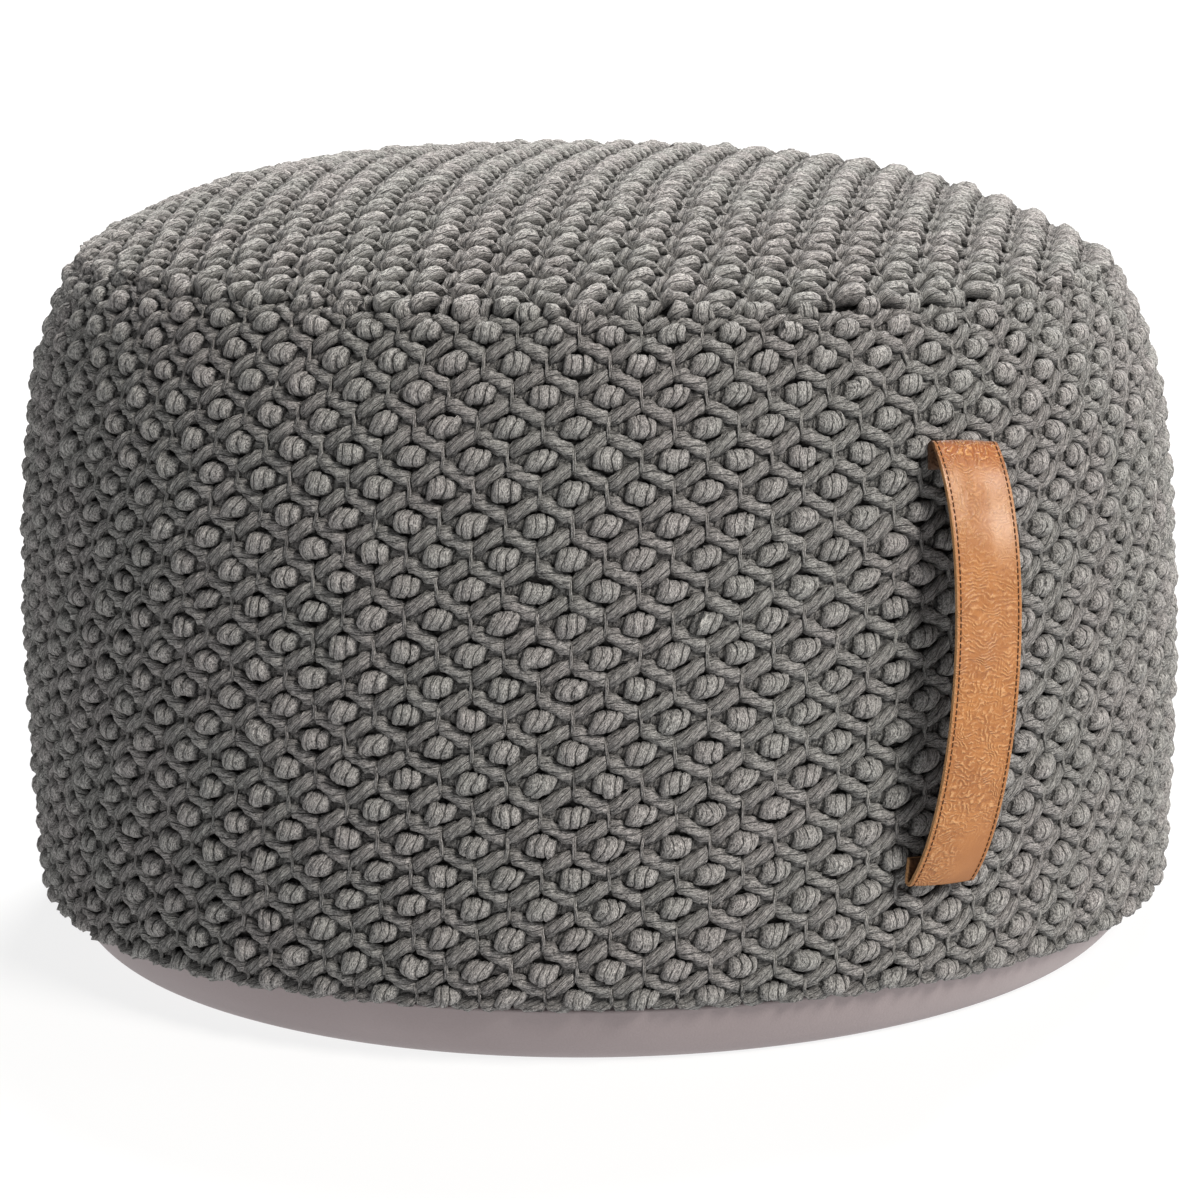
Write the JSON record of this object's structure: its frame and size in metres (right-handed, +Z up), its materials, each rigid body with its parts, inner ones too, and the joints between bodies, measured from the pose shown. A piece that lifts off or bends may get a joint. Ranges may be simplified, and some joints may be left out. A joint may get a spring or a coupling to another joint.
{
  "type": "woven pouf",
  "caption": "Round filled floor pouf in a staggered bobble weave, with a crowned top, a plain tapered base and a leather strap handle on its side.",
  "frame": {"origin": "on the floor under the middle of the base", "axes": "+Z up; -Y is the side that carries the strap handle"},
  "size_m": [0.6022, 0.6264, 0.395],
  "materials": {
    "woven_yarn": "thick soft-spun grey yarn, matte, in staggered bobbles over a zigzag ground",
    "base_cloth": "smooth taupe cloth, dull",
    "strap_leather": "tan grained leather, doubled, with dark stitching near both edges"
  },
  "bodies": {
    "root": {"base_panel": "base_cloth", "side_band": "woven_yarn", "top_panel": "woven_yarn", "strap_handle": "strap_leather"}
  },
  "joints": []
}
